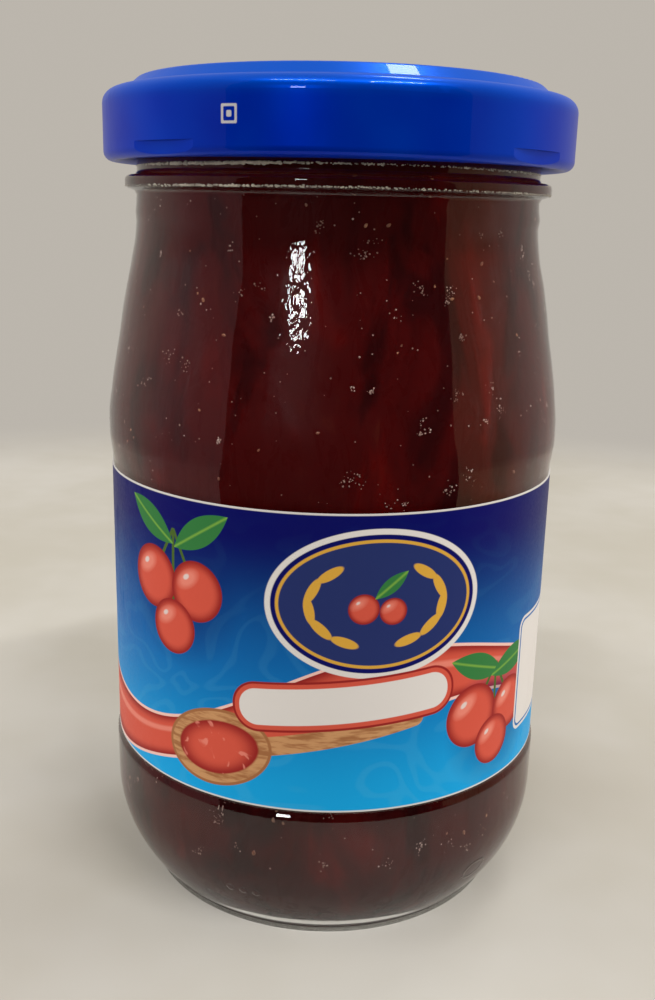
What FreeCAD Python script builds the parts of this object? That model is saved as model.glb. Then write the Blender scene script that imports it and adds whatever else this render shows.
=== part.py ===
import FreeCAD, Part
import math
import os

# Jam jar with a four-lug metal lid, all sizes in millimetres.
# The origin is the centre of the base, +Z is up and the front faces -Y.
# Every outline lies in the XZ plane as (radius, height, corner rounding) and is turned about Z.

# Glass outside: a low foot, a curved heel, a straight body with a sunk label panel, a long
# sloping shoulder, a short neck, the transfer bead and the finish that carries the lid.
foot_inset = 5.0
foot_height = 1.15
foot_rounding = 0.7
foot_crease = 0.35
bearing_width = 3.2
bearing_rounding = 0.8
push_up = 0.9
push_up_slope = 1.5
push_up_rounding = 1.0
body_radius = 30.8
heel_lean = 39.6
heel_rounding = 18.6
lower_band_top = 19.9
panel_depth = 0.4
panel_ramp = 0.8
panel_rounding = 1.2
panel_height = 39.7
panel_top_rounding = 3.0
upper_ramp = 3.2
upper_rounding = 6.0
upper_band_height = 4.0
shoulder_rounding = 30.0
shoulder_height = 19.3
shoulder_end_rounding = 4.0
neck_radius = 26.55
neck_step = 0.85
neck_step_height = 1.7
neck_height = 6.4
neck_rounding = 2.5
bead_height = 2.05
bead_reach = 1.4
bead_lower_slope = 0.45
bead_upper_slope = 0.15
bead_rounding = 0.65
bead_crease = 0.6
finish_inset = 0.15
finish_height = 10.0
lip_rounding = 0.9

# Glass inside.
base_thickness = 4.8
body_wall = 2.7
neck_wall = 2.35
finish_wall = 2.4
inner_heel_rounding = 12.0
inner_shoulder_drop = 1.0
inner_neck_rounding = 14.0

# Jam, filled to a level that the lid's skirt hides.
headspace = 7.4

# Paper label, wrapped round the panel with its ends lapped at the back.
label_thickness = 0.1
label_bottom_margin = 0.4
label_top_margin = 0.8
label_lap_angle = 11.0

# Lid: drawn sheet with a rolled lower edge, which four lugs press flat.
lid_clearance = 4.1
lid_gap = 1.5
lid_sheet = 0.25
lid_shoulder_rounding = 1.75
ledge_rise = 0.1
ledge_width = 2.8
riser_height = 1.5
riser_width = 1.7
top_ring_width = 3.2
top_panel_drop = 0.6
button_radius = 9.0
button_drop = 0.3
crease = 0.9
curl_radius = 1.15
lug_count = 4
lug_first_angle = 49.0
lug_flat_depth = 0.42
lug_width = 8.0
lug_reach = 1.1
lug_height = 1.3
lug_press_drop = 0.5
seal_overhang = 0.6
seal_width = 3.6
seal_rounding = 0.4

# Heights and radii that follow from the values above.
foot_radius = body_radius - foot_inset
bearing_inner_radius = foot_radius - bearing_width
panel_radius = body_radius - panel_depth
panel_bottom = lower_band_top + panel_ramp
panel_top = panel_bottom + panel_height
shoulder_start = panel_top + upper_ramp + upper_band_height
shoulder_end = shoulder_start + shoulder_height
shoulder_end_radius = neck_radius + neck_step
neck_start = shoulder_end + neck_step_height
bead_bottom = neck_start + neck_height
bead_top = bead_bottom + bead_height
bead_radius = neck_radius + bead_reach
finish_radius = neck_radius - finish_inset
finish_top = bead_top + finish_height
bore_radius = finish_radius - finish_wall
jam_top = finish_top - headspace
label_bottom = panel_bottom + label_bottom_margin
label_top = panel_top - label_top_margin
lid_radius = finish_radius + lid_clearance
lid_bottom = bead_top + lid_gap
ledge_top = finish_top + ledge_rise
ledge_radius = lid_radius - ledge_width
top_ring_radius = ledge_radius - riser_width
top_ring_top = ledge_top + riser_height
top_panel_radius = top_ring_radius - top_ring_width
top_panel_top = top_ring_top - top_panel_drop


def side_direction(start, end):
    return (end - start).normalize()


# A corner's rounding takes this much of the two sides beside it.
def corner_reach(points, index, rounding):
    point = points[index]
    before = side_direction(point, points[index - 1])
    after = side_direction(point, points[(index + 1) % len(points)])
    return rounding / math.tan(before.getAngle(after) / 2)


# Roundings that would run into each other on a short side shrink together until they fit.
def fitted_reaches(points, roundings):
    wanted = [corner_reach(points, index, rounding) for index, rounding in enumerate(roundings)]
    fitted = list(wanted)
    for index in range(len(points)):
        following = (index + 1) % len(points)
        side = (points[following] - points[index]).Length
        share = 0.98 * side / max(wanted[index] + wanted[following], side * 0.98)
        fitted[index] = min(fitted[index], wanted[index] * share)
        fitted[following] = min(fitted[following], wanted[following] * share)
    return fitted


# The two ends of a rounded corner, and the point halfway round it.
def corner_points(points, index, reach):
    point = points[index]
    if reach == 0:
        return point, point, point
    before = side_direction(point, points[index - 1])
    after = side_direction(point, points[(index + 1) % len(points)])
    half_angle = before.getAngle(after) / 2
    inward = (before + after).normalize()
    to_middle = reach * (1 / math.cos(half_angle) - math.tan(half_angle))
    return point + before * reach, point + inward * to_middle, point + after * reach


# Face bounded by straight sides and rounded corners.
def rounded_face(corners):
    points = [FreeCAD.Vector(radius, 0, height) for radius, height, rounding in corners]
    reaches = fitted_reaches(points, [rounding for radius, height, rounding in corners])
    bends = [corner_points(points, index, reach) for index, reach in enumerate(reaches)]
    edges = []
    for index, (start, middle, end) in enumerate(bends):
        if reaches[index] > 0:
            edges.append(Part.Arc(start, middle, end).toShape())
        next_start = bends[(index + 1) % len(bends)][0]
        edges.append(Part.LineSegment(end, next_start).toShape())
    return Part.Face(Part.Wire(edges))


def turned(corners):
    axis_point = FreeCAD.Vector(0, 0, 0)
    return rounded_face(corners).revolve(axis_point, FreeCAD.Vector(0, 0, 1), 360)


# Outside of the glass, from the middle of the base up to the lip.
def glass_outside():
    heel_corner = foot_height + (body_radius - foot_radius) / math.tan(math.radians(heel_lean))
    return [
        (0, push_up, 0),
        (bearing_inner_radius - push_up_slope, push_up, push_up_rounding),
        (bearing_inner_radius, 0, bearing_rounding),
        (foot_radius, 0, foot_rounding),
        (foot_radius, foot_height, foot_crease),
        (body_radius, heel_corner, heel_rounding),
        (body_radius, lower_band_top, panel_rounding),
        (panel_radius, panel_bottom, panel_rounding),
        (panel_radius, panel_top, panel_top_rounding),
        (body_radius, panel_top + upper_ramp, upper_rounding),
        (body_radius, shoulder_start, shoulder_rounding),
        (shoulder_end_radius, shoulder_end, shoulder_end_rounding),
        (neck_radius, neck_start, neck_rounding),
        (neck_radius, bead_bottom, bead_crease),
        (bead_radius, bead_bottom + bead_lower_slope, bead_rounding),
        (bead_radius, bead_top - bead_upper_slope, bead_rounding),
        (finish_radius, bead_top, bead_crease),
        (finish_radius, finish_top, lip_rounding),
    ]


# Inside of the glass, from the lip down to the middle of the floor.
def glass_inside(top, lip):
    inner_body = body_radius - body_wall
    floor = push_up + base_thickness
    return [
        (bore_radius, top, lip),
        (neck_radius - neck_wall, shoulder_end, inner_neck_rounding),
        (inner_body, shoulder_start - inner_shoulder_drop, shoulder_rounding - body_wall),
        (inner_body, floor, inner_heel_rounding),
        (0, floor, 0),
    ]


def make_glass():
    return turned(glass_outside() + glass_inside(finish_top, lip_rounding))


# The jam takes the inside of the glass up to its level.
def make_jam():
    inside = turned([(0, finish_top, 0)] + glass_inside(finish_top, 0))
    width = 4 * body_radius
    above = Part.makeBox(width, width, width, FreeCAD.Vector(-width / 2, -width / 2, jam_top))
    return inside.cut(above)


def label_layer(inner_radius, start_angle, sweep):
    outer_radius = inner_radius + label_thickness
    corners = [
        (inner_radius, label_bottom, 0),
        (outer_radius, label_bottom, 0),
        (outer_radius, label_top, 0),
        (inner_radius, label_top, 0),
    ]
    layer = rounded_face(corners).revolve(FreeCAD.Vector(), FreeCAD.Vector(0, 0, 1), sweep)
    layer.rotate(FreeCAD.Vector(), FreeCAD.Vector(0, 0, 1), start_angle)
    return layer


# One turn round the panel, and a second layer where its end laps over its start.
def make_label():
    wrap = label_layer(panel_radius, 90, 360)
    lap = label_layer(panel_radius + label_thickness, 90 - label_lap_angle / 2, label_lap_angle)
    return wrap.fuse(lap).removeSplitter()


# Top face of the lid, from its middle out and down to the rolled edge.
def lid_outside():
    button_top = top_panel_top - button_drop
    return [
        (0, button_top, 0),
        (button_radius, button_top, crease),
        (button_radius + crease, top_panel_top, crease),
        (top_panel_radius, top_panel_top, crease),
        (top_panel_radius + crease, top_ring_top, crease),
        (top_ring_radius, top_ring_top, crease),
        (ledge_radius, ledge_top, crease),
        (lid_radius, ledge_top, lid_shoulder_rounding),
        (lid_radius, lid_bottom + curl_radius, 0),
    ]


# The same line moved inward by the sheet's thickness, in reverse order.
def lid_inside():
    outside = lid_outside()
    inside = []
    for index, (radius, height, rounding) in enumerate(outside):
        point = FreeCAD.Vector(radius, 0, height)
        sides = []
        if index > 0:
            last_radius, last_height, last_rounding = outside[index - 1]
            sides.append(side_direction(FreeCAD.Vector(last_radius, 0, last_height), point))
        if index < len(outside) - 1:
            next_radius, next_height, next_rounding = outside[index + 1]
            sides.append(side_direction(point, FreeCAD.Vector(next_radius, 0, next_height)))
        normals = [FreeCAD.Vector(side.z, 0, -side.x) for side in sides]
        shift = (normals[0] + normals[-1]) * (lid_sheet / (1 + normals[0].dot(normals[-1])))
        turn = sides[0].cross(sides[-1]).y
        inner_rounding = rounding + math.copysign(lid_sheet, -turn) if rounding > 0 else 0
        inside.append((radius + shift.x, height + shift.z, inner_rounding))
    return inside[::-1]


# The band under the top ring that seats on the lip.
def make_seal_band():
    outer = finish_radius + seal_overhang
    inner = outer - seal_width
    riser_slope = riser_height / riser_width
    outer_top = ledge_top + (ledge_radius - outer) * riser_slope - 1.5 * lid_sheet
    inner_top = top_ring_top - lid_sheet / 2
    return turned([
        (inner, finish_top, seal_rounding),
        (outer, finish_top, 0),
        (outer, outer_top, 0),
        (top_ring_radius, inner_top, 0),
        (inner, inner_top, 0),
    ])


# Tool that presses the rolled edge flat over one lug.
def make_lug_press():
    height = 2 * curl_radius - lug_press_drop
    near = lid_radius - lug_flat_depth
    corner = FreeCAD.Vector(near, -lid_radius / 2, lid_bottom)
    return Part.makeBox(2 * lug_flat_depth, lid_radius, height, corner)


# The metal that the press pushes in, a short tongue under the rolled edge.
def make_lug():
    outer = lid_radius - curl_radius
    inner = lid_radius - 2 * curl_radius - lug_reach
    base = lid_bottom + curl_radius - lug_height / 2
    corner = FreeCAD.Vector(inner, -lug_width / 2, base)
    tongue = Part.makeBox(outer - inner, lug_width, lug_height, corner)
    return tongue.makeFillet(0.45 * lug_height, tongue.Edges)


def make_lid():
    shell = turned(lid_outside() + lid_inside())
    curl_centre = FreeCAD.Vector(0, 0, lid_bottom + curl_radius)
    curl = Part.makeTorus(lid_radius - curl_radius, curl_radius, curl_centre)
    lid = shell.fuse([curl, make_seal_band()])
    for number in range(lug_count):
        angle = lug_first_angle - 90 + number * 360 / lug_count
        press = make_lug_press()
        press.rotate(FreeCAD.Vector(), FreeCAD.Vector(0, 0, 1), angle)
        lug = make_lug()
        lug.rotate(FreeCAD.Vector(), FreeCAD.Vector(0, 0, 1), angle)
        lid = lid.cut(press).fuse(lug)
    return lid.removeSplitter()


def main():
    os.makedirs("parts", exist_ok=True)
    nodes = {
        "jar_glass": make_glass(),
        "jam": make_jam(),
        "label": make_label(),
        "lid": make_lid(),
    }
    for name, shape in nodes.items():
        shape.exportStep(os.path.join("parts", name + ".step"))
        print(name, len(shape.Solids), "solid", round(shape.Volume / 1000, 2), "ml")


main()
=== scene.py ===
import math
import random

import bmesh
import bpy
from mathutils import Matrix, Vector, noise


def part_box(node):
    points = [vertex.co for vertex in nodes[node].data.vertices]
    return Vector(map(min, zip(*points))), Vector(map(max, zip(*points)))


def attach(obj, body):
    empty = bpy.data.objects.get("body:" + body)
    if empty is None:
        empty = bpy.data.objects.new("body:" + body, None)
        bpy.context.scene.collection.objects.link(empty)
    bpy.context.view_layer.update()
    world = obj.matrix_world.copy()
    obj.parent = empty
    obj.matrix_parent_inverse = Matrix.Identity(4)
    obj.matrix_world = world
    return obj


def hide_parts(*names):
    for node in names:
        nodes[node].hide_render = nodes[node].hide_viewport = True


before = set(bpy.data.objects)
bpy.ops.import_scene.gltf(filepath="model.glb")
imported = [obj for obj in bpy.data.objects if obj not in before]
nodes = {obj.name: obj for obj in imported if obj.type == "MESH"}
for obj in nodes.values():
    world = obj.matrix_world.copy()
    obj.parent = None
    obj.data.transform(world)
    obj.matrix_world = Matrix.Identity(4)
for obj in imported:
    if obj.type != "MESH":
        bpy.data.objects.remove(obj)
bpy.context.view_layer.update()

mm = 0.001

# Heights the looks share, read off the frame.
labelLow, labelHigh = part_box("label")
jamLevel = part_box("jam")[1].z
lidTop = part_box("lid")[1].z


# Small helpers for shader trees.
def newMaterial(name):
    material = bpy.data.materials.new(name)
    material.use_nodes = True
    tree = material.node_tree
    return material, tree, tree.nodes["Principled BSDF"]


def addNode(tree, kind, **settings):
    node = tree.nodes.new(kind)
    for key, value in settings.items():
        setattr(node, key, value)
    return node


def feed(tree, socket, value):
    if isinstance(value, bpy.types.NodeSocket):
        tree.links.new(value, socket)
    elif isinstance(value, tuple) and len(value) == 3 and len(socket.default_value) == 4:
        socket.default_value = (*value, 1.0)
    else:
        socket.default_value = value


def calc(tree, operation, first, second=None, clamp=False):
    node = addNode(tree, "ShaderNodeMath", operation=operation, use_clamp=clamp)
    feed(tree, node.inputs[0], first)
    if second is not None:
        feed(tree, node.inputs[1], second)
    return node.outputs[0]


def ramp(tree, value, low, high, toLow=0.0, toHigh=1.0):
    node = addNode(tree, "ShaderNodeMapRange", interpolation_type="SMOOTHSTEP")
    feed(tree, node.inputs["Value"], value)
    for name, number in (("From Min", low), ("From Max", high), ("To Min", toLow), ("To Max", toHigh)):
        feed(tree, node.inputs[name], number)
    return node.outputs["Result"]


def paint(tree, under, mask, colour):
    node = addNode(tree, "ShaderNodeMix", data_type="RGBA")
    feed(tree, node.inputs[0], mask)
    feed(tree, node.inputs[6], under)
    feed(tree, node.inputs[7], colour)
    return node.outputs[2]


def placed(tree):
    return addNode(tree, "ShaderNodeTexCoord").outputs["Object"]


def cloud(tree, at, scale, detail=3.0, roughness=0.5, distortion=0.0):
    node = addNode(tree, "ShaderNodeTexNoise")
    feed(tree, node.inputs["Vector"], at)
    feed(tree, node.inputs["Scale"], scale)
    feed(tree, node.inputs["Detail"], detail)
    feed(tree, node.inputs["Roughness"], roughness)
    feed(tree, node.inputs["Distortion"], distortion)
    return node.outputs[0]


def stretched(tree, at, scale):
    node = addNode(tree, "ShaderNodeVectorMath", operation="MULTIPLY")
    feed(tree, node.inputs[0], at)
    node.inputs[1].default_value = scale
    return node.outputs[0]


def bumped(tree, principled, height, distance, strength=1.0):
    bump = addNode(tree, "ShaderNodeBump")
    feed(tree, bump.inputs["Strength"], strength)
    feed(tree, bump.inputs["Distance"], distance)
    feed(tree, bump.inputs["Height"], height)
    feed(tree, principled.inputs["Normal"], bump.outputs["Normal"])


def newGroup(name, inputs, outputs):
    group = bpy.data.node_groups.new(name, "ShaderNodeTree")
    for label in inputs:
        group.interface.new_socket(label, in_out="INPUT", socket_type="NodeSocketFloat")
    for label in outputs:
        group.interface.new_socket(label, in_out="OUTPUT", socket_type="NodeSocketFloat")
    return group, addNode(group, "NodeGroupInput"), addNode(group, "NodeGroupOutput")


def useGroup(tree, group, **values):
    node = addNode(tree, "ShaderNodeGroup", node_tree=group)
    for label, value in values.items():
        feed(tree, node.inputs[label], value)
    return node


# Group: the place on the jar in millimetres, round it from the front and up from the table.
def buildPlaceGroup():
    group, inside, out = newGroup("placeOnJar", ["Radius"], ["Along", "Up"])
    apart = addNode(group, "ShaderNodeSeparateXYZ")
    feed(group, apart.inputs[0], placed(group))
    angle = calc(group, "ARCTAN2", apart.outputs["X"], calc(group, "MULTIPLY", apart.outputs["Y"], -1.0))
    feed(group, out.inputs["Along"], calc(group, "MULTIPLY", angle, inside.outputs["Radius"]))
    feed(group, out.inputs["Up"], calc(group, "MULTIPLY", apart.outputs["Z"], 1000.0))
    return group


shapeInputs = ["Along", "Up", "CentreAlong", "CentreUp", "Turn"]


# The point in a shape's own turned axes.
def turnedAxes(group, inside):
    across = calc(group, "SUBTRACT", inside.outputs["Along"], inside.outputs["CentreAlong"])
    up = calc(group, "SUBTRACT", inside.outputs["Up"], inside.outputs["CentreUp"])
    turn = calc(group, "RADIANS", inside.outputs["Turn"])
    cosine = calc(group, "COSINE", turn)
    sine = calc(group, "SINE", turn)
    alongFirst, upFirst = calc(group, "MULTIPLY", across, cosine), calc(group, "MULTIPLY", up, sine)
    upSecond, alongSecond = calc(group, "MULTIPLY", up, cosine), calc(group, "MULTIPLY", across, sine)
    return calc(group, "ADD", alongFirst, upFirst), calc(group, "SUBTRACT", upSecond, alongSecond)


# Group: a printed oval. Level is 1 in the middle and 0 at the edge.
def buildOvalGroup():
    names = shapeInputs + ["HalfWidth", "HalfHeight", "Soft"]
    group, inside, out = newGroup("ovalPrint", names, ["Mask", "Level"])
    first, second = turnedAxes(group, inside)
    u = calc(group, "DIVIDE", first, inside.outputs["HalfWidth"])
    v = calc(group, "DIVIDE", second, inside.outputs["HalfHeight"])
    squared = calc(group, "ADD", calc(group, "MULTIPLY", u, u), calc(group, "MULTIPLY", v, v))
    far = calc(group, "SUBTRACT", 1.0, calc(group, "SQRT", squared))
    size = calc(group, "MINIMUM", inside.outputs["HalfWidth"], inside.outputs["HalfHeight"])
    edge = calc(group, "DIVIDE", calc(group, "MULTIPLY", far, size), inside.outputs["Soft"])
    feed(group, out.inputs["Mask"], calc(group, "ADD", edge, 0.5, clamp=True))
    feed(group, out.inputs["Level"], calc(group, "SUBTRACT", 1.0, squared))
    return group


# Group: a printed leaf, pointed at both ends. Rib is the line down its middle.
def buildLeafGroup():
    group, inside, out = newGroup("leafPrint", shapeInputs + ["HalfLength", "HalfWidth"], ["Mask", "Rib"])
    first, second = turnedAxes(group, inside)
    u = calc(group, "DIVIDE", first, inside.outputs["HalfLength"])
    narrowing = calc(group, "SUBTRACT", 1.0, calc(group, "MULTIPLY", u, u))
    width = calc(group, "MULTIPLY", narrowing, inside.outputs["HalfWidth"])
    room = calc(group, "SUBTRACT", width, calc(group, "ABSOLUTE", second))
    feed(group, out.inputs["Mask"], calc(group, "ADD", calc(group, "MULTIPLY", room, 12.0), 0.5, clamp=True))
    beside = calc(group, "MULTIPLY", calc(group, "ABSOLUTE", second), 4.0)
    feed(group, out.inputs["Rib"], calc(group, "SUBTRACT", 1.0, beside, clamp=True))
    return group


# Group: a printed panel with round corners. Inset runs inwards from its edge in millimetres.
def buildPanelGroup():
    names = shapeInputs + ["HalfWidth", "HalfHeight", "Corner", "Soft"]
    group, inside, out = newGroup("panelPrint", names, ["Mask", "Inset"])
    first, second = turnedAxes(group, inside)
    reach = []
    for value, half in ((first, "HalfWidth"), (second, "HalfHeight")):
        straight = calc(group, "SUBTRACT", inside.outputs[half], inside.outputs["Corner"])
        reach.append(calc(group, "SUBTRACT", calc(group, "ABSOLUTE", value), straight))
    over = [calc(group, "MAXIMUM", value, 0.0) for value in reach]
    squared = calc(group, "ADD", *(calc(group, "MULTIPLY", value, value) for value in over))
    under = calc(group, "MINIMUM", calc(group, "MAXIMUM", reach[0], reach[1]), 0.0)
    distance = calc(group, "ADD", calc(group, "SQRT", squared), under)
    inset = calc(group, "SUBTRACT", inside.outputs["Corner"], distance)
    feed(group, out.inputs["Inset"], inset)
    edge = calc(group, "DIVIDE", inset, inside.outputs["Soft"])
    feed(group, out.inputs["Mask"], calc(group, "ADD", edge, 0.5, clamp=True))
    return group


# Group: a printed wave that runs round the jar. Level is 1 along its middle and 0 at its edges.
def buildWaveGroup():
    names = ["Along", "Up", "Middle", "Swing", "Length", "Shift", "HalfWidth", "WidthSwing"]
    group, inside, out = newGroup("wavePrint", names, ["Mask", "Level", "Across"])
    run = calc(group, "SUBTRACT", inside.outputs["Along"], inside.outputs["Shift"])
    turns = calc(group, "DIVIDE", run, inside.outputs["Length"])
    angle = calc(group, "MULTIPLY", turns, 2 * math.pi)
    rise = calc(group, "MULTIPLY", calc(group, "SINE", angle), inside.outputs["Swing"])
    line = calc(group, "ADD", rise, inside.outputs["Middle"])
    twice = calc(group, "SINE", calc(group, "MULTIPLY", angle, 2.0))
    swell = calc(group, "MULTIPLY", twice, inside.outputs["WidthSwing"])
    half = calc(group, "ADD", swell, inside.outputs["HalfWidth"])
    away = calc(group, "SUBTRACT", inside.outputs["Up"], line)
    room = calc(group, "SUBTRACT", half, calc(group, "ABSOLUTE", away))
    across = calc(group, "DIVIDE", away, half)
    feed(group, out.inputs["Mask"], calc(group, "ADD", calc(group, "MULTIPLY", room, 12.0), 0.5, clamp=True))
    feed(group, out.inputs["Level"], calc(group, "SUBTRACT", 1.0, calc(group, "MULTIPLY", across, across)))
    feed(group, out.inputs["Across"], across)
    return group


# Group: fine handling marks, small faint scuffs and smears on a smooth surface.
def buildScuffGroup():
    group, inside, out = newGroup("scuffs", ["Size", "Amount"], ["Mask", "Height"])
    at = placed(group)
    broad = cloud(group, at, inside.outputs["Size"], 4.0, 0.6)
    fineSize = calc(group, "MULTIPLY", inside.outputs["Size"], 9.0)
    fine = cloud(group, stretched(group, at, (1.0, 1.0, 0.25)), fineSize, 2.0, 0.7)
    mask = calc(group, "MULTIPLY", ramp(group, broad, 0.45, 0.75), ramp(group, fine, 0.45, 0.7))
    feed(group, out.inputs["Mask"], calc(group, "MULTIPLY", mask, inside.outputs["Amount"]))
    feed(group, out.inputs["Height"], fine)
    return group


placeGroup = buildPlaceGroup()
ovalGroup = buildOvalGroup()
leafGroup = buildLeafGroup()
panelGroup = buildPanelGroup()
waveGroup = buildWaveGroup()
scuffGroup = buildScuffGroup()


def ovalShape(tree, spot, along, up, wide, high, turn=0.0, soft=0.1):
    return useGroup(tree, ovalGroup, CentreAlong=along, CentreUp=up, HalfWidth=wide, HalfHeight=high,
                    Turn=turn, Soft=soft, **spot)


def printOval(tree, colour, spot, along, up, wide, high, turn, fill):
    oval = ovalShape(tree, spot, along, up, wide, high, turn)
    return paint(tree, colour, oval.outputs["Mask"], fill)


def printPanel(tree, colour, spot, along, up, wide, high, corner, turn, fill):
    panel = useGroup(tree, panelGroup, CentreAlong=along, CentreUp=up, HalfWidth=wide, HalfHeight=high,
                     Corner=corner, Turn=turn, Soft=0.1, **spot)
    return paint(tree, colour, panel.outputs["Mask"], fill)


# Small helpers for meshes.
def newMesh(name, points, faces, material, smooth=True):
    mesh = bpy.data.meshes.new(name)
    mesh.from_pydata(points, [], faces)
    mesh.materials.append(material)
    mesh.polygons.foreach_set("use_smooth", [smooth] * len(mesh.polygons))
    mesh.update()
    piece = bpy.data.objects.new(name, mesh)
    bpy.context.scene.collection.objects.link(piece)
    return piece


def facesOut(piece):
    work = bmesh.new()
    work.from_mesh(piece.data)
    bmesh.ops.recalc_face_normals(work, faces=work.faces)
    work.to_mesh(piece.data)
    work.free()


def onCylinder(radius, azimuth, height):
    return (radius * math.sin(azimuth), -radius * math.cos(azimuth), height)


# Camera, lamps, floor and backdrop.
studio = {
    "eye": (0.0, -0.14911, 0.09353),
    "lens": 38.74,
    "lookDown": 15.223,
    "turn": 0.16,
    "roll": 1.387,
    "floorRadius": 3.0,
    "floorColour": (0.45, 0.425, 0.37),
    "floorPatch": (0.51, 0.49, 0.45),
    "wallColour": (0.50, 0.465, 0.415),
    "flagFrom": -52,    # azimuths in degrees, the camera's side at 0
    "flagTo": 61,
    "flagTop": 56,
    "flagNear": 0.105,
    "flagFar": 1.6,
    "flagLift": 0.002,
    "wingReach": 120,
    "leftWing": (0.66, 0.42, 0.48),
    "rightWing": (0.70, 0.45, 0.30),
    # Each lamp: name, azimuth, elevation, distance, size and watts.
    "lamps": (
        ("leftLamp", -25, 60, 0.9, (0.34, 0.022), 1.9),
        ("rightLamp", 38, 60, 0.9, (0.32, 0.030), 3.2),
        ("topLamp", 144, 70, 0.9, (0.16, 0.10), 1.3),
        ("frontLamp", -19, 18, 1.3, (0.14, 0.15), 1.7),
    ),
    # The broad lamps at the sides, which no gloss shows: name, azimuth, watts and colour.
    "sideLamps": (
        ("leftSide", -98, 6.0, (1, 1, 1)),
        ("rightSide", 98, 6.5, (1.0, 0.96, 0.9)),
    ),
}


def makeCamera():
    camera = bpy.data.objects.new("camera", bpy.data.cameras.new("camera"))
    bpy.context.scene.collection.objects.link(camera)
    camera.data.lens = studio["lens"]
    camera.data.clip_start = 0.01
    turn = Matrix.Rotation(math.radians(studio["turn"]), 4, "Z")
    tilt = Matrix.Rotation(math.radians(90 - studio["lookDown"]), 4, "X")
    roll = Matrix.Rotation(math.radians(studio["roll"]), 4, "Z")
    camera.matrix_world = Matrix.Translation(studio["eye"]) @ turn @ tilt @ roll
    bpy.context.scene.camera = camera


# A soft lamp at a place round the jar, aimed at the middle of the jar.
def makeLamp(name, azimuth, elevation, distance, size, watts, colour=(1, 1, 1), mirrored=True):
    data = bpy.data.lights.new(name, "AREA")
    data.shape = "RECTANGLE"
    data.size, data.size_y = size
    data.energy = watts
    data.color = colour
    lamp = bpy.data.objects.new(name, data)
    bpy.context.scene.collection.objects.link(lamp)
    level = math.cos(math.radians(elevation)) * distance
    rise = math.sin(math.radians(elevation)) * distance
    away = Vector(onCylinder(level, math.radians(azimuth), rise))
    lamp.location = Vector((0, 0, lidTop / 2)) + away
    lamp.rotation_euler = away.to_track_quat("Z", "Y").to_euler()
    lamp.visible_camera = False
    lamp.visible_glossy = mirrored


def makeWorld():
    world = bpy.data.worlds.new("studio")
    bpy.context.scene.world = world
    world.use_nodes = True
    background = world.node_tree.nodes["Background"]
    feed(world.node_tree, background.inputs["Color"], studio["wallColour"])
    feed(world.node_tree, background.inputs["Strength"], 1.0)


def floorMaterial():
    material, tree, principled = newMaterial("paleTable")
    at = placed(tree)
    patches = ramp(tree, cloud(tree, at, 11.0, 4.0, 0.6), 0.35, 0.7)
    colour = paint(tree, studio["floorColour"], patches, studio["floorPatch"])
    feed(tree, principled.inputs["Base Color"], colour)
    feed(tree, principled.inputs["Roughness"], 0.5)
    feed(tree, principled.inputs["Specular IOR Level"], 0.0)
    length = addNode(tree, "ShaderNodeVectorMath", operation="LENGTH")
    feed(tree, length.inputs[0], at)
    glow = addNode(tree, "ShaderNodeEmission")
    feed(tree, glow.inputs["Color"], studio["wallColour"])
    mix = addNode(tree, "ShaderNodeMixShader")
    feed(tree, mix.inputs[0], ramp(tree, length.outputs["Value"], 0.24, 0.34))
    feed(tree, mix.inputs[1], principled.outputs[0])
    feed(tree, mix.inputs[2], glow.outputs[0])
    feed(tree, tree.nodes["Material Output"].inputs["Surface"], mix.outputs[0])
    return material


def makeFloor():
    count = 96
    rim = [onCylinder(studio["floorRadius"], 2 * math.pi * step / count, 0.0) for step in range(count)]
    floor = newMesh("floor", rim, [list(range(count))], floorMaterial(), smooth=False)


# Dark cloth for the front; it keeps the front of the glass deep.
def flagMaterial():
    material, tree, principled = newMaterial("flagCloth")
    feed(tree, principled.inputs["Base Color"], (0.003, 0.002, 0.002))
    feed(tree, principled.inputs["Roughness"], 1.0)
    feed(tree, principled.inputs["Specular IOR Level"], 0.0)
    return material


# Thin coloured gauze for the sides; it thins out towards the back.
def gauzeMaterial(name, colour):
    material, tree, principled = newMaterial(name)
    direction = addNode(tree, "ShaderNodeVectorMath", operation="NORMALIZE")
    feed(tree, direction.inputs[0], placed(tree))
    split = addNode(tree, "ShaderNodeSeparateXYZ")
    feed(tree, split.inputs[0], direction.outputs["Vector"])
    gauze = addNode(tree, "ShaderNodeBsdfTransparent")
    thinning = ramp(tree, split.outputs["Y"], -0.15, 0.45)
    feed(tree, gauze.inputs["Color"], paint(tree, colour, thinning, (1.0, 1.0, 1.0)))
    feed(tree, tree.nodes["Material Output"].inputs["Surface"], gauze.outputs["BSDF"])
    return material


# A cloth from the floor up and over, between two azimuths, seen only in what shines.
def makeFlag(name, start, end, material):
    lift, far = studio["flagLift"], studio["flagFar"]
    rise = [math.radians(studio["flagTop"]) * step / 6 for step in range(7)]
    line = [(studio["flagNear"], lift)]
    line += [(far * math.cos(angle), far * math.sin(angle) + lift) for angle in rise]
    steps, rows = 24, len(line)
    points = []
    for step in range(steps + 1):
        azimuth = math.radians(start + (end - start) * step / steps)
        points += [onCylinder(radius, azimuth, height) for radius, height in line]
    faces = []
    for step in range(steps):
        for row in range(rows - 1):
            a = step * rows + row
            faces.append((a, a + rows, a + rows + 1, a + 1))
    flag = newMesh(name, points, faces, material)
    flag.visible_camera = False
    flag.visible_diffuse = False
    flag.visible_transmission = False
    flag.visible_shadow = False


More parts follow.
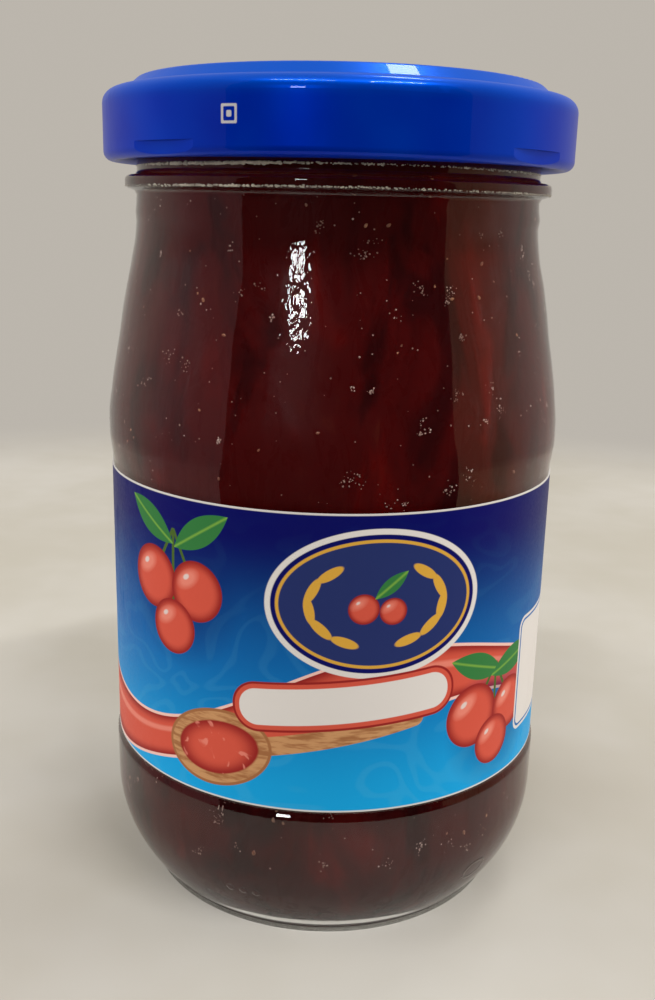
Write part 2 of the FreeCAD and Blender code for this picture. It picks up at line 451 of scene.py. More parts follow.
print("camera, lamps and floor")
makeCamera()
makeWorld()
makeFloor()
makeFlag("flag", studio["flagFrom"], studio["flagTo"], flagMaterial())
makeFlag("leftWing", -studio["wingReach"], studio["flagFrom"], gauzeMaterial("leftGauze", studio["leftWing"]))
makeFlag("rightWing", studio["flagTo"], studio["wingReach"], gauzeMaterial("rightGauze", studio["rightWing"]))
for lamp in studio["lamps"]:
    makeLamp(*lamp)
for name, azimuth, watts, colour in studio["sideLamps"]:
    makeLamp(name, azimuth, 12, 1.0, (0.5, 0.7), watts, colour, mirrored=False)


# The turned outline of a node: its edges in the half plane of its seam, walked from the axis.
def seamOutline(node):
    places = {}
    for vertex in nodes[node].data.vertices:
        if abs(vertex.co.y) < 1e-6 and vertex.co.x > -1e-6:
            places[vertex.index] = (round(vertex.co.x, 6), round(vertex.co.z, 6))
    beside = {}
    for edge in nodes[node].data.edges:
        first, second = (places.get(index) for index in edge.vertices)
        if first and second and first != second:
            beside.setdefault(first, set()).add(second)
            beside.setdefault(second, set()).add(first)
    ends = sorted((place for place in beside if len(beside[place]) == 1), key=lambda place: place[1])
    line, seen = [ends[0]], {ends[0]}
    while line[-1] != ends[1]:
        following = next(place for place in sorted(beside[line[-1]]) if place not in seen)
        line.append(following)
        seen.add(following)
    return line


# The outline with its crowded points thinned and its long runs filled in.
def evenOutline(line, closest, longest):
    even = [line[0]]
    for place in line[1:]:
        gap = math.dist(even[-1], place)
        if gap < closest and place != line[-1]:
            continue
        parts = math.ceil(gap / longest(place[1]))
        start = even[-1]
        for part in range(1, parts + 1):
            share = part / parts
            even.append(tuple(a + (b - a) * share for a, b in zip(start, place)))
    return even


# The outline's normals, to the right of its way, which is outwards for a line that goes up outside.
def outlineNormals(line):
    normals = []
    for index in range(len(line)):
        before, after = line[max(index - 1, 0)], line[min(index + 1, len(line) - 1)]
        run, rise = after[0] - before[0], after[1] - before[1]
        length = math.hypot(run, rise)
        normals.append((rise / length, -run / length))
    return normals


# A turned mesh of an outline; relief gives how far a point of it stands out, in metres.
def turnedPiece(name, line, count, material, relief):
    normals = outlineNormals(line)
    points = []
    for (radius, height), (outward, upward) in zip(line, normals):
        for step in range(count):
            azimuth = 2 * math.pi * step / count
            out = relief(azimuth, radius, height)
            points.append(onCylinder(radius + out * outward, azimuth, height + out * upward))
    faces = []
    for row in range(len(line) - 1):
        for step in range(count):
            after = (step + 1) % count
            a, b = row * count + step, row * count + after
            faces.append((a, b, b + count, a + count))
    for row, middle in ((0, len(points)), (len(line) - 1, len(points) + 1)):
        points.append((0.0, 0.0, line[row][1]))
        start = row * count
        faces += [(start + step, start + (step + 1) % count, middle) for step in range(count)]
    piece = newMesh(name, points, faces, material)
    facesOut(piece)
    return piece


# The radius at a height of a line that goes up.
def radiusAt(line, height):
    for (low, start), (high, end) in zip(line, line[1:]):
        if start <= height <= end and end > start:
            return low + (high - low) * (height - start) / (end - start)
    return line[-1][0]


def topIndex(line):
    return max(range(len(line)), key=lambda index: line[index][1])


def smoothStep(value, low, high):
    share = min(max((value - low) / (high - low), 0.0), 1.0)
    return share * share * (3 - 2 * share)


# How near an angle is to a place round the jar, 1 on it and 0 a half width away.
def nearAngle(azimuth, degrees, halfWidth):
    away = (math.degrees(azimuth) - degrees + 180) % 360 - 180
    return 1 - smoothStep(abs(away), 0, halfWidth)


# The glass: slow ripples, two mould seams, the neck ring's parting line and marks on the heel.
glass = {
    "count": 288,
    "ripple": 0.055 * mm,
    "rippleSize": 0.011,
    "sideWave": 0.16 * mm,
    "seamAngles": (-88.0, 92.0),
    "seamHeight": 0.07 * mm,
    "partingHeight": 92.2 * mm,
    "partingStep": 0.32 * mm,
    "partingRise": 0.09 * mm,
    "jogAngle": 11.0,
    "neckFrom": 78 * mm,
    "neckTo": 94.5 * mm,
    "grain": 0.18,
    "bumpDepth": 0.14 * mm,
    "pebbledPlace": (-5.0, 83.0),    # round the jar and up, in millimetres
    "ringPlace": (23.6, 7.6),
    "dotsAlong": (-12.5, -10.6, -8.7),
}


def glassRelief(azimuth, radius, height):
    outside = radius > 25.6 * mm or (radius > 22.4 * mm and height < 5 * mm)
    if not outside or height > 94.6 * mm:
        return 0.0
    at = Vector(onCylinder(radius, azimuth, height)) / glass["rippleSize"]
    shoulder = smoothStep(height, 61.5 * mm, 66 * mm)
    heel = 1 - smoothStep(height, 14 * mm, 19.5 * mm)
    free = max(shoulder, heel) * smoothStep(height, 1.2 * mm, 4 * mm)
    out = free * glass["ripple"] * (noise.noise(at) - 0.3)
    side = max(nearAngle(azimuth, -84, 16), nearAngle(azimuth, 86, 16))
    wave = noise.noise(Vector((azimuth * 2.0, 0.0, height / (3.1 * mm))))
    out += shoulder * side * glass["sideWave"] * (wave - 0.35)
    for angle in glass["seamAngles"]:
        out += free * glass["seamHeight"] * nearAngle(azimuth, angle, 1.6)
    turn = (math.degrees(azimuth) - glass["jogAngle"] + 180) % 360 - 180
    line = glass["partingHeight"] + (glass["partingStep"] if turn > 0 else 0.0)
    out += glass["partingRise"] * (1 - smoothStep(abs(height - line), 0.05 * mm, 0.24 * mm))
    return out


def glassMaterial():
    material, tree, principled = newMaterial("clearGlass")
    at = placed(tree)
    feed(tree, principled.inputs["Base Color"], (0.975, 0.985, 0.975))
    feed(tree, principled.inputs["Transmission Weight"], 1.0)
    feed(tree, principled.inputs["IOR"], 1.5)
    scuffs = useGroup(tree, scuffGroup, Size=70.0, Amount=0.012)
    feed(tree, principled.inputs["Roughness"], scuffs.outputs["Mask"])
    place = useGroup(tree, placeGroup, Radius=30.8)
    marks = heelMarks(tree, place)
    grain = cloud(tree, stretched(tree, at, (1.0, 1.0, 0.3)), 420.0, 1.0, 0.5)
    grain = calc(tree, "MULTIPLY", grain, glass["grain"])
    foot = ramp(tree, place.outputs["Up"], 0.75, 0.35)
    stipple = calc(tree, "MULTIPLY", cloud(tree, at, 1600.0, 1.0, 0.4), foot)
    pebbles = pebbledSpot(tree, place, at)
    height = calc(tree, "ADD", calc(tree, "ADD", marks, grain), calc(tree, "ADD", stipple, pebbles))
    bumped(tree, principled, height, glass["bumpDepth"], 0.8)
    return material


# A finely pebbled spot that the mould left on the shoulder; it breaks up a lamp's reflection.
def pebbledSpot(tree, place, at):
    spot = {"Along": place.outputs["Along"], "Up": place.outputs["Up"]}
    area = ovalShape(tree, spot, *glass["pebbledPlace"], 4.2, 10.0, 0.0, 5.0)
    pebbles = cloud(tree, stretched(tree, at, (1.0, 1.0, 0.4)), 1050.0, 2.0, 0.6)
    return calc(tree, "MULTIPLY", calc(tree, "MULTIPLY", pebbles, area.outputs["Mask"]), 0.8)


# Faint moulded marks low on the heel: an oval ring on the right, a row of dots on the left.
def heelMarks(tree, place):
    spot = {"Along": place.outputs["Along"], "Up": place.outputs["Up"]}
    big = ovalShape(tree, spot, *glass["ringPlace"], 2.3, 1.5, 0.0, 0.12)
    small = ovalShape(tree, spot, *glass["ringPlace"], 1.9, 1.1, 0.0, 0.12)
    marks = calc(tree, "SUBTRACT", big.outputs["Mask"], small.outputs["Mask"], clamp=True)
    for along in glass["dotsAlong"]:
        dot = ovalShape(tree, spot, along, 8.0, 0.5, 0.5, 0.0, 0.2)
        marks = calc(tree, "ADD", marks, dot.outputs["Mask"], clamp=True)
    return marks


# The longest step of the outline, finer over the parting line.
def glassStep(height):
    return 0.16 * mm if 91.5 * mm < height < 93.4 * mm else 1.15 * mm


# The outside line with its neck eased: blown glass turns from shoulder to neck in one slow sweep.
def easedNeck(line):
    top = topIndex(line)
    outside = line[:top]
    eased = []
    for index, (radius, height) in enumerate(line):
        low, high = glass["neckFrom"], glass["neckTo"]
        share = smoothStep(height, low, low + 3 * mm) * (1 - smoothStep(height, high - 3 * mm, high))
        if index < top and share > 0:
            around = [radiusAt(outside, height + step * 0.6 * mm) for step in range(-6, 7)]
            radius += share * (sum(around) / len(around) - radius)
        eased.append((radius, height))
    return eased


def makeGlass():
    line = easedNeck(evenOutline(seamOutline("jar_glass"), 0.11 * mm, glassStep))
    piece = turnedPiece("jarGlass", line, glass["count"], glassMaterial(), glassRelief)
    piece.visible_shadow = False    # lamps reach the jam through the glass
    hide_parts("jar_glass")
    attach(piece, "root")
    return line[:topIndex(line)]


# The jam: it reaches just into the wall, so that no air shows between it and the glass.
jam = {
    "count": 200,
    "intoWall": 0.2 * mm,
    "baseShadeFill": 3.1 * mm,    # jam run into the thick base: partly how the heel bends the light, partly painted shade for the shaded table under the jar
    "dark": (0.018, 0.0005, 0.0008),
    "body": (0.040, 0.0011, 0.0012),
    "fruit": (0.082, 0.0016, 0.0012),
    "haze": (0.070, 0.010, 0.005),
}


def jamRelief(azimuth, radius, height):
    at = Vector(onCylinder(radius, azimuth, height)) / (5 * mm)
    wavy = noise.noise(at)
    if height > jamLevel - 0.01 * mm:
        return -0.35 * mm * (0.5 + 0.5 * wavy) if radius < 23.5 * mm else 0.0
    # Low down the jam swells into the base, a dark fill that paints the shade under the jar.
    base = 1 - smoothStep(height, 5 * mm, 19 * mm)
    return jam["intoWall"] + base * jam["baseShadeFill"] + 0.05 * mm * wavy


def jamMaterial():
    material, tree, principled = newMaterial("darkJam")
    at = placed(tree)
    flow = stretched(tree, at, (1.0, 1.0, 0.42))
    lumps = cloud(tree, flow, 130.0, 3.0, 0.55, 0.6)
    colour = paint(tree, jam["body"], ramp(tree, lumps, 0.5, 0.34), jam["dark"])
    colour = paint(tree, colour, ramp(tree, lumps, 0.57, 0.78), jam["fruit"])
    wisps = cloud(tree, stretched(tree, at, (1.0, 1.0, 0.3)), 420.0, 4.0, 0.7, 1.2)
    thin = calc(tree, "MULTIPLY", ramp(tree, wisps, 0.56, 0.72), ramp(tree, lumps, 0.42, 0.6))
    colour = paint(tree, colour, calc(tree, "MULTIPLY", thin, 0.35), jam["haze"])
    feed(tree, principled.inputs["Base Color"], colour)
    feed(tree, principled.inputs["Roughness"], ramp(tree, wisps, 0.3, 0.7, 0.22, 0.4))
    feed(tree, principled.inputs["Specular IOR Level"], 0.04)
    bumped(tree, principled, lumps, 0.5 * mm, 0.5)
    return material


def makeJam():
    line = evenOutline(seamOutline("jam"), 0.3 * mm, lambda height: 1.3 * mm)
    top = line[-1][0]
    line += [(top * share, jamLevel) for share in (0.985, 0.94, 0.8, 0.6, 0.4, 0.2)]
    piece = turnedPiece("jamFill", line, jam["count"], jamMaterial(), jamRelief)
    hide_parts("jam")
    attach(piece, "root")
    return [(radius, height) for radius, height in line if radius > 20 * mm]


# Joins many small copies of one unit shape into one mesh.
def scattered(name, unit, spots, material):
    unitPoints, unitFaces = unit
    points, faces = [], []
    for matrix in spots:
        start = len(points)
        points += [tuple(matrix @ point) for point in unitPoints]
        faces += [tuple(start + index for index in face) for face in unitFaces]
    return newMesh(name, points, faces, material)


# A small closed drop: round at one end, pointed at the other by taper.
def unitDrop(rings, count, taper):
    points, faces = [Vector((0, 0, -1))], []
    for ring in range(1, rings):
        angle = math.pi * ring / rings
        level = -math.cos(angle)
        wide = math.sin(angle) * (1 - taper * max(level, 0.0))
        for step in range(count):
            turn = 2 * math.pi * step / count
            points.append(Vector((wide * math.cos(turn), wide * math.sin(turn), level)))
    points.append(Vector((0, 0, 1)))
    last = len(points) - 1
    for step in range(count):
        after = (step + 1) % count
        faces.append((0, 1 + after, 1 + step))
        faces.append((last, last - count + step, last - count + after))
    for ring in range(rings - 2):
        for step in range(count):
            a, b = 1 + ring * count + step, 1 + ring * count + (step + 1) % count
            faces.append((a, b, b + count, a + count))
    return points, faces


# Where a speck lies: its own axes on the wall, its tilt and its size.
def wallSpot(line, azimuth, height, depth, tilt, size):
    radius = radiusAt(line, height) + jamRelief(azimuth, radiusAt(line, height), height) + depth
    place = Matrix.Translation(onCylinder(radius, azimuth, height))
    facing = Matrix.Rotation(azimuth, 4, "Z")
    lean = Matrix.Rotation(tilt, 4, "Y")
    return place @ facing @ lean @ Matrix.Diagonal((*size, 1.0))


seeds = {
    "count": 190,
    "seed": 11,
    "length": (0.26 * mm, 0.42 * mm),
    "colour": (0.13, 0.035, 0.016),
    "tip": (0.26, 0.11, 0.05),
}


def seedMaterial():
    material, tree, principled = newMaterial("fruitSeed")
    at = placed(tree)
    mottle = cloud(tree, at, 900.0, 3.0, 0.6)
    colour = paint(tree, seeds["colour"], ramp(tree, mottle, 0.4, 0.65), seeds["tip"])
    feed(tree, principled.inputs["Base Color"], colour)
    feed(tree, principled.inputs["Roughness"], ramp(tree, mottle, 0.3, 0.7, 0.3, 0.55))
    bumped(tree, principled, mottle, 0.05 * mm, 0.5)
    return material


def makeSeeds(line):
    chance = random.Random(seeds["seed"])
    spots = []
    while len(spots) < seeds["count"]:
        azimuth = chance.uniform(-math.pi, math.pi)
        height = chance.uniform(7 * mm, 96 * mm)
        crowd = noise.noise(Vector(onCylinder(3.0, azimuth, height / (11 * mm))))
        if chance.random() > 0.35 + 1.1 * crowd:
            continue
        long = chance.uniform(*seeds["length"])
        size = (long * 0.62, long * 0.3, long)
        spots.append(wallSpot(line, azimuth, height, -0.06 * mm, chance.uniform(0, math.pi), size))
    piece = scattered("seeds", unitDrop(6, 8, 0.55), spots, seedMaterial())
    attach(piece, "root")


bubbles = {
    "clusters": 340,
    "singles": 1000,
    "seed": 5,
    "radius": (0.04 * mm, 0.125 * mm),
    "colour": (0.22, 0.12, 0.10),
    "pale": (0.46, 0.33, 0.29),
}


# The bubbles' pale colours are painted reflection: they stand for the light that the air under the glass
# sends back.
def bubbleGlintMaterial():
    material, tree, principled = newMaterial("bubbleGlintPaint")
    at = placed(tree)
    tone = cloud(tree, at, 240.0, 2.0, 0.6)
    colour = paint(tree, bubbles["colour"], ramp(tree, tone, 0.42, 0.66), bubbles["pale"])
    feed(tree, principled.inputs["Base Color"], colour)
    feed(tree, principled.inputs["Roughness"], ramp(tree, tone, 0.3, 0.7, 0.15, 0.3))
    return material


def makeBubbles(line):
    chance = random.Random(bubbles["seed"])
    spots = []

    def addBubble(azimuth, height):
        size = chance.uniform(*bubbles["radius"]) * chance.uniform(0.6, 1.2)
        spots.append(wallSpot(line, azimuth, height, 0.0, 0.0, (size, size * 0.7, size)))

    for _ in range(bubbles["clusters"]):
        azimuth, height = chance.uniform(-math.pi, math.pi), chance.uniform(8 * mm, 92 * mm)
        spread = chance.uniform(0.15, 0.6) * mm
        for _ in range(chance.randint(5, 18)):
            aside = chance.gauss(0, spread) / (28 * mm)
            addBubble(azimuth + aside, min(max(height + chance.gauss(0, spread), 7 * mm), 96 * mm))
    for _ in range(bubbles["singles"]):
        addBubble(chance.uniform(-math.pi, math.pi), chance.uniform(7 * mm, 96 * mm))
    piece = scattered("bubbles", unitDrop(4, 6, 0.0), spots, bubbleGlintMaterial())
    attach(piece, "root")


print("glass and jam")
glassLine = makeGlass()
jamLine = makeJam()
makeSeeds(jamLine)
makeBubbles(jamLine)


# The label: a printed paper sheet once round the panel, its end lapped over its start at the back.
label = {
    "count": 360,
    "rows": 44,
    "lapHalf": 5.5,
    "thickness": 0.1 * mm,
    "waviness": 0.018 * mm,
    "navy": (0.0002, 0.0015, 0.105),
    "blue": (0.0004, 0.125, 0.40),
    "cyan": (0.003, 0.33, 0.70),
    "paper": (0.62, 0.60, 0.58),
    "white": (0.66, 0.63, 0.61),
    "red": (0.58, 0.082, 0.05),
    "darkRed": (0.27, 0.014, 0.013),
    "lightRed": (0.74, 0.24, 0.18),
    "gold": (0.62, 0.34, 0.045),
    "tan": (0.52, 0.27, 0.12),
    "tanDark": (0.32, 0.13, 0.05),
    "leaf": (0.030, 0.175, 0.045),
    "leafLight": (0.17, 0.36, 0.05),
    "stem": (0.06, 0.12, 0.02),
    "blush": (0.80, 0.50, 0.44),
    "swirl": (0.10, 0.42, 0.62),
    "deepNavy": (0.016, 0.028, 0.13),
    # Places on the print are millimetres round the jar from its front and up from the table.
    "wave": (32.0, 6.5, 95.8, -9.0, 3.6, 0.9),    # middle, swing, length, shift, half width, swell
    "spoon": (-14.0, 28.0, 12.0),    # place and turn
    "medallion": (6.0, 48.4),
    "namePlate": (2.5, 35.6),
    "sidePanel": (36.0, 34.0),
    "backPanel": (-72.0, 40.0),
    # Each bunch: its place, its leaves (aside, above, turn) and its berries (aside, below, size).
    "bunches": (
        (-20.6, 55.4,
         ((-4.2, 0.4, 150.0), (4.2, 0.2, 32.0)),
         ((-3.8, -7.0, 4.1), (3.6, -7.4, 3.9), (-0.2, -12.8, 3.6))),
        (24.2, 38.0,
         ((-3.4, 0.2, 162.0), (3.8, -0.6, 14.0)),
         ((-4.0, -6.4, 4.3), (3.6, -6.8, 3.7), (0.2, -11.0, 3.4))),
        (68.0, 54.0,
         ((3.6, 0.2, 24.0),),
         ((-2.6, -6.4, 3.8), (3.8, -8.2, 3.3))),
    ),
}


# The field: navy above, blue, then cyan below, with faint swirls where it is light.
def labelField(tree, spot):
    share = ramp(tree, spot["Up"], 21.0, 62.0)
    swirl = cloud(tree, stretched(tree, placed(tree), (1.0, 1.0, 1.7)), 42.0, 1.0, 0.4, 1.6)
    ring = calc(tree, "SINE", calc(tree, "MULTIPLY", swirl, 34.0))
    tone = calc(tree, "MULTIPLY", ramp(tree, ring, 0.3, 0.9), 0.11)
    colour = paint(tree, label["cyan"], ramp(tree, spot["Up"], 20.0, 42.0), label["blue"])
    colour = paint(tree, colour, ramp(tree, spot["Up"], 36.0, 57.0), label["navy"])
    lower = calc(tree, "MULTIPLY", tone, calc(tree, "SUBTRACT", 1.0, share))
    return paint(tree, colour, lower, label["swirl"])


# A round berry: dark at its edge, with a soft light and a small glint at its upper left.
def printBerry(tree, colour, spot, along, up, size):
    berry = ovalShape(tree, spot, along, up, size, size, 0.0, 0.12)
    shaded = paint(tree, label["darkRed"], ramp(tree, berry.outputs["Level"], 0.0, 0.62), label["red"])
    lights = (
        (0.32, 0.36, 0.42, 0.24, 0.7, label["lightRed"]),
        (0.38, 0.42, 0.13, 0.08, 0.15, label["white"]),
    )
    for left, above, wide, high, soft, fill in lights:
        place = (along - left * size, up + above * size)
        light = ovalShape(tree, spot, *place, wide * size, high * size, 35.0, soft)
        shaded = paint(tree, shaded, calc(tree, "MULTIPLY", light.outputs["Mask"], 0.8), fill)
    return paint(tree, colour, berry.outputs["Mask"], shaded)


def printLeaf(tree, colour, spot, along, up, turn, length, width):
    leaf = useGroup(tree, leafGroup, CentreAlong=along, CentreUp=up, Turn=turn, HalfLength=length,
                    HalfWidth=width, **spot)
    veined = paint(tree, label["leaf"], leaf.outputs["Rib"], label["leafLight"])
    return paint(tree, colour, leaf.outputs["Mask"], veined)


# A bunch: a soft shadow, stems from one point, leaves, then the berries.
def printBunch(tree, colour, spot, along, up, leaves, berries):
    shadow = ovalShape(tree, spot, along + 0.9, up - 8.6, 7.0, 7.0, 0.0, 5.0)
    colour = paint(tree, colour, calc(tree, "MULTIPLY", shadow.outputs["Mask"], 0.45), label["navy"])
    for aside, below, size in berries:
        middle = (along + aside / 2, up + below / 2)
        length = math.hypot(aside, below) / 2
        turn = math.degrees(math.atan2(below, aside))
        colour = printPanel(tree, colour, spot, *middle, length, 0.22, 0.2, turn, label["stem"])
    for aside, above, turn in leaves:
        colour = printLeaf(tree, colour, spot, along + aside, up + above, turn, 4.8, 1.8)
    for aside, below, size in berries:
        colour = printBerry(tree, colour, spot, along + aside, up + below, size)
    return colour


def waveShape(tree, spot, middle, swing, length, shift, half, swell):
    return useGroup(tree, waveGroup, Middle=middle, Swing=swing, Length=length, Shift=shift, HalfWidth=half,
                    WidthSwing=swell, **spot)


# A red wave round the jar with a pale rim and one line of shine.
def printWave(tree, colour, spot, middle, swing, length, shift, half, swell):
    rim = waveShape(tree, spot, middle, swing, length, shift, half + 0.4, swell)
    colour = paint(tree, colour, rim.outputs["Mask"], label["blush"])
    wave = waveShape(tree, spot, middle, swing, length, shift, half, swell)
    shaded = paint(tree, label["darkRed"], ramp(tree, wave.outputs["Level"], 0.0, 0.75), label["red"])
    offShine = calc(tree, "ABSOLUTE", calc(tree, "SUBTRACT", wave.outputs["Across"], 0.35))
    shine = calc(tree, "MULTIPLY", ramp(tree, offShine, 0.2, 0.05), 0.75)
    shaded = paint(tree, shaded, shine, label["lightRed"])
    return paint(tree, colour, wave.outputs["Mask"], shaded)


# A wooden spoon with jam in its bowl.
def printSpoon(tree, colour, spot, along, up, turn):
    grain = cloud(tree, stretched(tree, placed(tree), (1.0, 1.0, 6.0)), 260.0, 3.0, 0.6)
    wood = paint(tree, label["tan"], ramp(tree, grain, 0.42, 0.66), label["tanDark"])
    reach = math.radians(turn)
    handle = (along + 16 * math.cos(reach), up + 16 * math.sin(reach))
    colour = printPanel(tree, colour, spot, *handle, 11.0, 1.25, 1.2, turn, wood)
    colour = printOval(tree, colour, spot, along, up, 7.6, 5.2, turn, label["tanDark"])
    colour = printOval(tree, colour, spot, along, up, 7.2, 4.8, turn, wood)
    return printJamFill(tree, colour, spot, along, up, turn)


def printJamFill(tree, colour, spot, along, up, turn):
    fill = ovalShape(tree, spot, along, up, 5.9, 3.6, turn, 0.2)
    shaded = paint(tree, label["darkRed"], ramp(tree, fill.outputs["Level"], 0.0, 0.8), label["red"])
    lights = ramp(tree, cloud(tree, placed(tree), 330.0, 2.0, 0.5, 1.5), 0.58, 0.66)
    shaded = paint(tree, shaded, calc(tree, "MULTIPLY", lights, 0.7), label["lightRed"])
    return paint(tree, colour, fill.outputs["Mask"], shaded)


# A bare pale name plate with a red edge.
def printNamePlate(tree, colour, spot, along, up):
    for wide, high, fill in ((14.2, 3.3, "darkRed"), (13.9, 3.0, "red"), (13.3, 2.4, "white")):
        colour = printPanel(tree, colour, spot, along, up, wide, high, high - 0.1, 5.0, label[fill])
    return colour


# An oval medallion: pale rim, gold line and navy field, with a wreath round two berries.
def printMedallion(tree, colour, spot, along, up):
    ovals = ((13.6, 9.4, "white"), (12.9, 8.7, "navy"), (12.3, 8.1, "gold"), (11.9, 7.7, "deepNavy"))
    for wide, high, fill in ovals:
        colour = printOval(tree, colour, spot, along, up, wide, high, 0.0, label[fill])
    wide, high = 8.3, 5.3    # half the wreath's width and height
    for side in (-1, 1):
        for step in range(5):
            angle = math.radians(-62 + 27 * step)
            turn = math.degrees(math.atan2(high * math.cos(angle), -side * wide * math.sin(angle)))
            place = (along + side * wide * math.cos(angle), up + high * math.sin(angle))
            colour = printOval(tree, colour, spot, *place, 1.75, 0.62, turn, label["gold"])
    colour = printBerry(tree, colour, spot, along - 1.7, up - 0.5, 1.9)
    colour = printBerry(tree, colour, spot, along + 1.9, up - 0.9, 1.7)
    return printLeaf(tree, colour, spot, along + 1.6, up + 2.4, 40.0, 2.6, 0.9)


# A bare pale panel with a blue line at the right, and a larger one at the back.
def printPanels(tree, colour, spot):
    layers = ((6.2, 8.2, 1.6, "white"), (5.8, 7.8, 1.3, "blue"), (5.5, 7.5, 1.1, "white"))
    for wide, high, corner, fill in layers:
        colour = printPanel(tree, colour, spot, *label["sidePanel"], wide, high, corner, 0.0, label[fill])
    return printPanel(tree, colour, spot, *label["backPanel"], 13.0, 15.5, 1.6, 0.0, label["white"])


def labelMaterial():
    material, tree, principled = newMaterial("printedPaper")
    place = useGroup(tree, placeGroup, Radius=30.5)
    spot = {"Along": place.outputs["Along"], "Up": place.outputs["Up"]}
    colour = labelField(tree, spot)
    colour = printWave(tree, colour, spot, *label["wave"])
    colour = printSpoon(tree, colour, spot, *label["spoon"])
    for bunch in label["bunches"]:
        colour = printBunch(tree, colour, spot, *bunch)
    colour = printMedallion(tree, colour, spot, *label["medallion"])
    colour = printNamePlate(tree, colour, spot, *label["namePlate"])
    colour = printPanels(tree, colour, spot)
    overLow = calc(tree, "SUBTRACT", spot["Up"], labelLow.z / mm)
    underHigh = calc(tree, "SUBTRACT", labelHigh.z / mm, spot["Up"])
    margin = calc(tree, "MINIMUM", overLow, underHigh)
    colour = paint(tree, colour, ramp(tree, margin, 0.28, 0.16), label["paper"])
    feed(tree, principled.inputs["Base Color"], colour)
    fibres = cloud(tree, placed(tree), 2200.0, 3.0, 0.7)
    scuffs = useGroup(tree, scuffGroup, Size=60.0, Amount=0.2)
    rough = calc(tree, "ADD", scuffs.outputs["Mask"], ramp(tree, fibres, 0.3, 0.7, 0.38, 0.46))
    feed(tree, principled.inputs["Roughness"], rough)
    feed(tree, principled.inputs["Specular IOR Level"], 0.12)
    bumped(tree, principled, fibres, 0.03 * mm, 0.35)
    return material


# Two sheets of points, inner and outer, joined round their rim.
def makeLabel():
    low, high = labelLow.z, labelHigh.z
    inner = labelHigh.x - label["thickness"]
    span = 360 + 2 * label["lapHalf"]
    columns, rows = label["count"], label["rows"]
    points = []
    for side in (0.0, label["thickness"]):
        for column in range(columns + 1):
            degrees = -span / 2 + span * column / columns
            over = smoothStep(degrees, 180 - 1.8 * label["lapHalf"], 180 - label["lapHalf"])
            for row in range(rows + 1):
                height = low + (high - low) * row / rows
                at = Vector(onCylinder(1.0, math.radians(degrees), height / (9 * mm))) * 3
                free = min(1.0, 4 * min(row, rows - row) / rows) * (1 - over)
                wave = label["waviness"] * free * noise.noise(at) if side else 0.0
                radius = inner + side + over * label["thickness"] + wave
                points.append(onCylinder(radius, math.radians(degrees), height))
    layer = (columns + 1) * (rows + 1)
    faces = []
    for column in range(columns):
        for row in range(rows):
            a = column * (rows + 1) + row
            b = a + rows + 1
            faces.append((a, b, b + 1, a + 1))
            faces.append((layer + a, layer + a + 1, layer + b + 1, layer + b))
    rim = [column * (rows + 1) for column in range(columns + 1)]
    rim += [columns * (rows + 1) + row for row in range(1, rows + 1)]
    rim += [column * (rows + 1) + rows for column in range(columns - 1, -1, -1)]
    rim += [row for row in range(rows - 1, 0, -1)]
    faces += [(a, b, layer + b, layer + a) for a, b in zip(rim, rim[1:] + rim[:1])]
    piece = newMesh("labelWrap", points, faces, labelMaterial())
    facesOut(piece)
    piece.data.set_sharp_from_angle(angle=math.radians(50))
    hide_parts("label")
    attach(piece, "root")


# The lid: the frame's own pressed shape, in blue lacquer over tinplate.
lid = {
    "lacquer": (0.0, 0.040, 0.48),
    "deep": (0.0, 0.022, 0.42),
    # upper: a lighter blue on the lid's top, a painted reflection of the bright room above.
    "upper": (0.0, 0.088, 0.58),
    "printed": (0.70, 0.70, 0.72),
    "markAngle": -22.8,    # a small printed mark, two nested squares
    "markUp": 102.9,
}


def lidMaterial():
    material, tree, principled = newMaterial("blueLacquer")
    at = placed(tree)
    place = useGroup(tree, placeGroup, Radius=30.5)
    spot = {"Along": place.outputs["Along"], "Up": place.outputs["Up"]}
    pool = cloud(tree, at, 60.0, 2.0, 0.5)
    colour = paint(tree, lid["lacquer"], ramp(tree, pool, 0.35, 0.7), lid["deep"])
    # The top is painted lighter towards its crown: painted reflection of the room above.
    colour = paint(tree, colour, ramp(tree, spot["Up"], 104.5, 107.6), lid["upper"])
    mark = math.radians(lid["markAngle"]) * 30.5
    for wide, high, fill in ((0.95, 1.0, "printed"), (0.68, 0.73, "deep"), (0.3, 0.33, "printed")):
        colour = printPanel(tree, colour, spot, mark, lid["markUp"], wide, high, 0.15, 0.0, lid[fill])
    feed(tree, principled.inputs["Base Color"], colour)
    scuffs = useGroup(tree, scuffGroup, Size=55.0, Amount=0.18)
    feed(tree, principled.inputs["Roughness"], calc(tree, "ADD", scuffs.outputs["Mask"], 0.32))
    feed(tree, principled.inputs["Metallic"], ramp(tree, pool, 0.3, 0.7, 0.4, 0.46))
    feed(tree, principled.inputs["Specular IOR Level"], 0.0)
    feed(tree, principled.inputs["Coat Weight"], 0.26)
    feed(tree, principled.inputs["Coat Roughness"], 0.03)
    peel = cloud(tree, at, 420.0, 2.0, 0.5)
    bumped(tree, principled, peel, 0.02 * mm, 0.25)
    return material


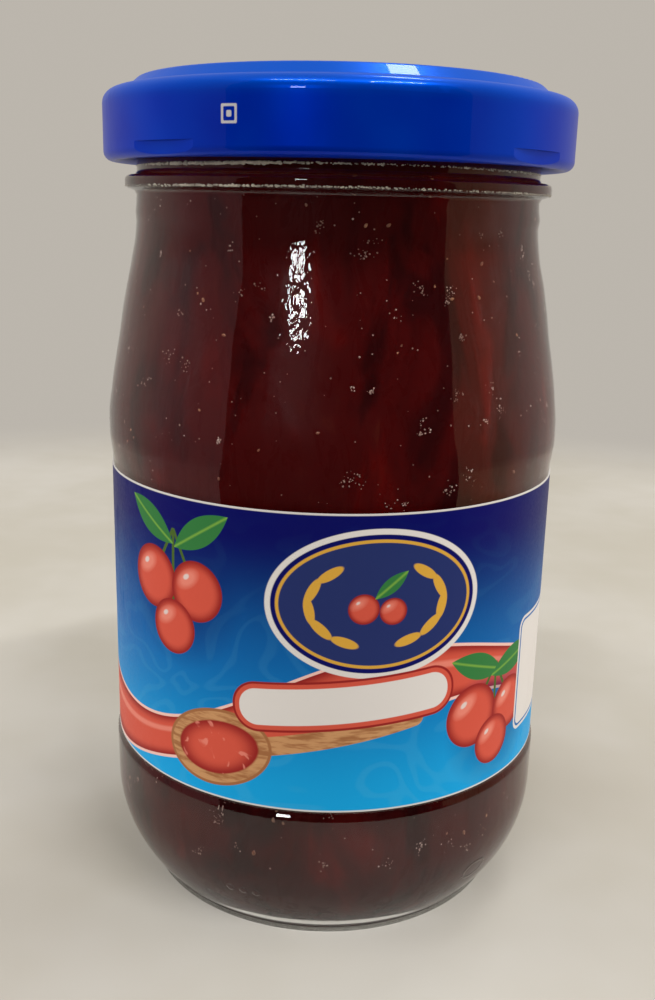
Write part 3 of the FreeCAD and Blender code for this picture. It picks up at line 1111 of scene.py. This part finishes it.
def finishLid():
    nodes["lid"].data.materials.clear()
    nodes["lid"].data.materials.append(lidMaterial())


# Pale flecks along two edges of the glass, close under the lid and low on the bead: painted sparkle, standing
# for light caught by the glass edges there.
flecks = {
    "seed": 3,
    # Each row: count, height, swing and how much thicker it is at the left.
    "underLid": (1500, 98.1 * mm, 0.08 * mm, 1.3),
    "onBead": (1100, 95.62 * mm, 0.06 * mm, 0.5),
    "size": (0.03 * mm, 0.095 * mm),
    "colour": (0.50, 0.46, 0.39),
    "grey": (0.30, 0.27, 0.23),
}


# The flecks' pale colours are painted sparkle of light on the glass edges.
def fleckMaterial():
    material, tree, principled = newMaterial("paintedSparkleFleck")
    tone = cloud(tree, placed(tree), 700.0, 3.0, 0.6)
    colour = paint(tree, flecks["grey"], ramp(tree, tone, 0.38, 0.6), flecks["colour"])
    feed(tree, principled.inputs["Base Color"], colour)
    feed(tree, principled.inputs["Roughness"], ramp(tree, tone, 0.3, 0.7, 0.35, 0.6))
    bumped(tree, principled, tone, 0.05 * mm, 0.5)
    return material


def fleckRow(chance, line, count, height, swing, thickest):
    spots = []
    while len(spots) < count:
        azimuth = chance.uniform(-math.pi, math.pi)
        crowd = noise.noise(Vector(onCylinder(2.6, azimuth, height / mm)))
        # They crowd and grow towards the front left, where the painted sparkle is brightest.
        if chance.random() > 0.5 + crowd + 0.3 * nearAngle(azimuth, -30, 40):
            continue
        size = chance.uniform(*flecks["size"]) * (1 + thickest * nearAngle(azimuth, -32, 45))
        drift = swing * math.sin(3 * azimuth + 1.0) + chance.gauss(0, 0.05 * mm)
        radius = radiusAt(line, height + drift)
        place = Matrix.Translation(onCylinder(radius, azimuth, height + drift))
        facing = Matrix.Rotation(azimuth, 4, "Z")
        spots.append(place @ facing @ Matrix.Diagonal((size * 1.5, size * 0.5, size, 1.0)))
    return spots


def makeFlecks(line):
    chance = random.Random(flecks["seed"])
    spots = fleckRow(chance, line, *flecks["underLid"])
    spots += fleckRow(chance, line, *flecks["onBead"])
    piece = scattered("edgeSparkleFlecks", unitDrop(4, 6, 0.0), spots, fleckMaterial())
    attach(piece, "root")


print("label and lid")
makeLabel()
finishLid()
makeFlecks(glassLine)

bpy.context.scene.view_settings.view_transform = "Standard"
